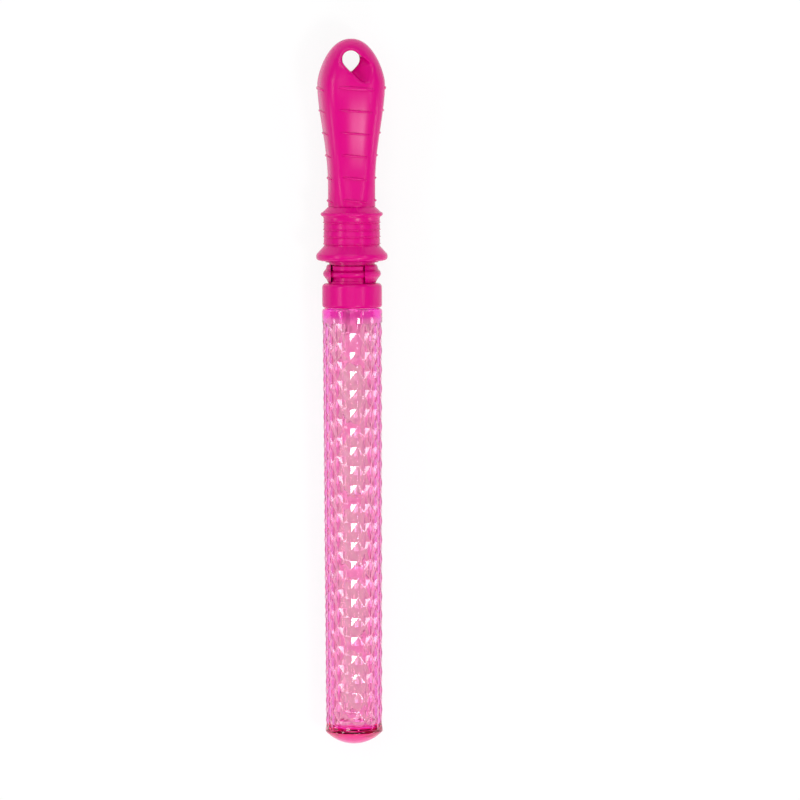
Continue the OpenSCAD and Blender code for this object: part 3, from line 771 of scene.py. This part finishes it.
half_turn = along_wand @ Matrix.Rotation(math.pi, 4, "Z") @ along_wand.inverted()
cutters = [
    prism("drop", drop_outline, lambda x, z: CUT_DEPTH, lambda x, z: -CUT_DEPTH),
    prism("front scoop", scoop_outline, lambda x, z: CUT_DEPTH, scoop_floor),
    prism("back scoop", scoop_outline, lambda x, z: CUT_DEPTH, scoop_floor),
]
cutters[2].matrix_world = half_turn
combine(grip, cutters, "DIFFERENCE")
print("grip with hole:", len(grip.data.polygons), "faces")

# %% [markdown]
# ## Soft edges at the hole
# A moulded dish has no hard edge. A bevel fails where cuts cross at a shallow angle, so the grip is
# remeshed into small even cells, and a smoothing that is strong near the hole and fades out below
# it lets the edges melt.

# %% Melt the edges of the hole
SKIN_CELL = 0.42
MELT_REACH = 17
MELT_FADE = 5
remesh = grip.modifiers.new("remesh", "REMESH")
remesh.mode = "VOXEL"
remesh.voxel_size = SKIN_CELL * MM
apply_modifiers(grip)
count = len(grip.data.vertices)
points = np.zeros(count * 3)
grip.data.vertices.foreach_get("co", points)
points = points.reshape(-1, 3)
# Share of smoothing for each point, in ten steps: full around the hole, none lower on the grip
height = (points - np.array(foot)) @ np.array(axis) / MM
blend = np.clip((height - (HOLE_AT - MELT_REACH)) / MELT_FADE, 0, 1)
group = grip.vertex_groups.new(name="around the hole")
for level in range(1, 11):
    chosen = np.nonzero((blend * 10).round() == level)[0]
    if len(chosen):
        group.add(chosen.tolist(), level / 10, "REPLACE")
smooth = grip.modifiers.new("melt", "SMOOTH")
smooth.factor = 0.5
smooth.iterations = 70
smooth.vertex_group = group.name
# A few more rounds all over take the steps of the cells away
even = grip.modifiers.new("even", "SMOOTH")
even.factor = 0.5
even.iterations = 3
apply_modifiers(grip)
shade_smooth(grip)
grip.data.materials.clear()
grip.data.materials.append(magenta)
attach(grip, "wand")
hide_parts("grip")
print("grip after the remesh:", len(grip.data.polygons), "faces")

# %% [markdown]
# ## The ribs
# Six thin ribs cross each facet for a sure hold. Each one leans down to its right end, fades out
# towards the facet's corners, and has a rounded back. A rib is a small grid of points laid on the
# skin's formula and raised along it, so it sits on the skin whatever the section does.

# %% Lay the ribs on the facets
RIB_COUNT = 6
RIB_START = 3.1
RIB_PITCH = 11.72
RIB_WIDTH = 1.2
TOP_RIB_WIDTH = 2.0
RIB_HEIGHT = 0.7
RIB_SINK = 0.25
RIB_LEAN = 0.7
RIB_REACH = math.radians(31)


def closed_sweep(name, sections):
    """A closed piece through a row of closed sections, with a flat face at both ends."""
    rows, columns = sections.shape[:2]
    faces = grid_faces(rows, columns)
    faces += [tuple(range(columns)), tuple(range((rows - 1) * columns, rows * columns))]
    piece = mesh_object(name, sections.reshape(-1, 3), faces)
    face_outward(piece)
    shade_smooth(piece)
    return piece


def add_rib(name, foot_height, facet, width):
    """One rib across a facet: a low rounded ridge whose foot is sunk into the skin."""
    along = np.linspace(-1, 1, 41)
    around = np.linspace(0, 2 * math.pi, 17)[:-1]
    run, turn = np.meshgrid(along, around, indexing="ij")
    fade = 0.05 + 0.95 * np.sqrt(np.clip(1 - np.abs(run) ** 3, 0, 1))
    angle = run * RIB_REACH
    height = foot_height + np.cos(turn) * width / 2 * fade - RIB_LEAN * run
    rise = np.where(np.sin(turn) > 0, RIB_HEIGHT * fade, RIB_SINK)
    sections = grip_point(height, angle + facet * math.pi / 2, rise * np.sin(turn))
    return closed_sweep(name, sections)


ribs = [
    add_rib(f"rib_{k + 1}_facet_{facet + 1}", RIB_START + k * RIB_PITCH, facet,
            RIB_WIDTH if k < RIB_COUNT - 1 else TOP_RIB_WIDTH)
    for k in range(RIB_COUNT) for facet in range(4)
]
for rib in ribs:
    rib.data.materials.append(magenta)
    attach(rib, "wand")
print("ribs:", len(ribs))

# %% [markdown]
# ## The screw thread
# The cap holds by one and a half turns of thread: a rounded ridge around the neck, and its partner
# inside the cap. They show when the wand is drawn out. A Screw modifier could make them, but each
# should fade in and out at its ends as a moulded thread does, so a small section is swept along a
# helix and grows and shrinks on its way.

# %% Sweep the threads
CAP_BORE = 13.9
THREAD_FOOT = 231.6
THREAD_PITCH = 3.6
THREAD_TURNS = 1.5
THREAD_WIDTH = 1.5
THREAD_DEPTH = 0.42
THREAD_SINK = 0.1
THREAD_FADE = math.radians(40)
# The cap's thread lies just below the neck's, which holds it down
CAP_THREAD_DROP = 0.8


def add_thread(name, radius, rise, start_mm):
    """A helical ridge on a cylinder. rise is how far its crest stands off, negative for inwards."""
    turns = np.linspace(0, THREAD_TURNS * 2 * math.pi, 110)
    around = np.linspace(0, 2 * math.pi, 13)[:-1]
    run, section = np.meshgrid(turns, around, indexing="ij")
    fade = 0.1 + 0.9 * np.clip(np.minimum(run, run[::-1]) / THREAD_FADE, 0, 1)
    sink = np.sign(rise) * THREAD_SINK
    crest = np.where(np.sin(section) > 0, rise * fade, sink) * np.sin(section)
    climb = start_mm + run / (2 * math.pi) * THREAD_PITCH
    height = climb + np.cos(section) * THREAD_WIDTH / 2 * fade
    reach = radius + crest
    sections = np.stack([reach * np.cos(run), reach * np.sin(run), height], axis=-1)
    return closed_sweep(name, sections)


neck_thread = add_thread("neck_thread", NECK_RADIUS, THREAD_DEPTH, THREAD_FOOT)
neck_thread.data.materials.append(tinted)
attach(neck_thread, "bottle")
cap_thread = add_thread("cap_thread", CAP_BORE, -THREAD_DEPTH, THREAD_FOOT - CAP_THREAD_DROP)
cap_thread.data.materials.append(magenta)
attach(cap_thread, "wand")
print("threads:", neck_thread.name, cap_thread.name)
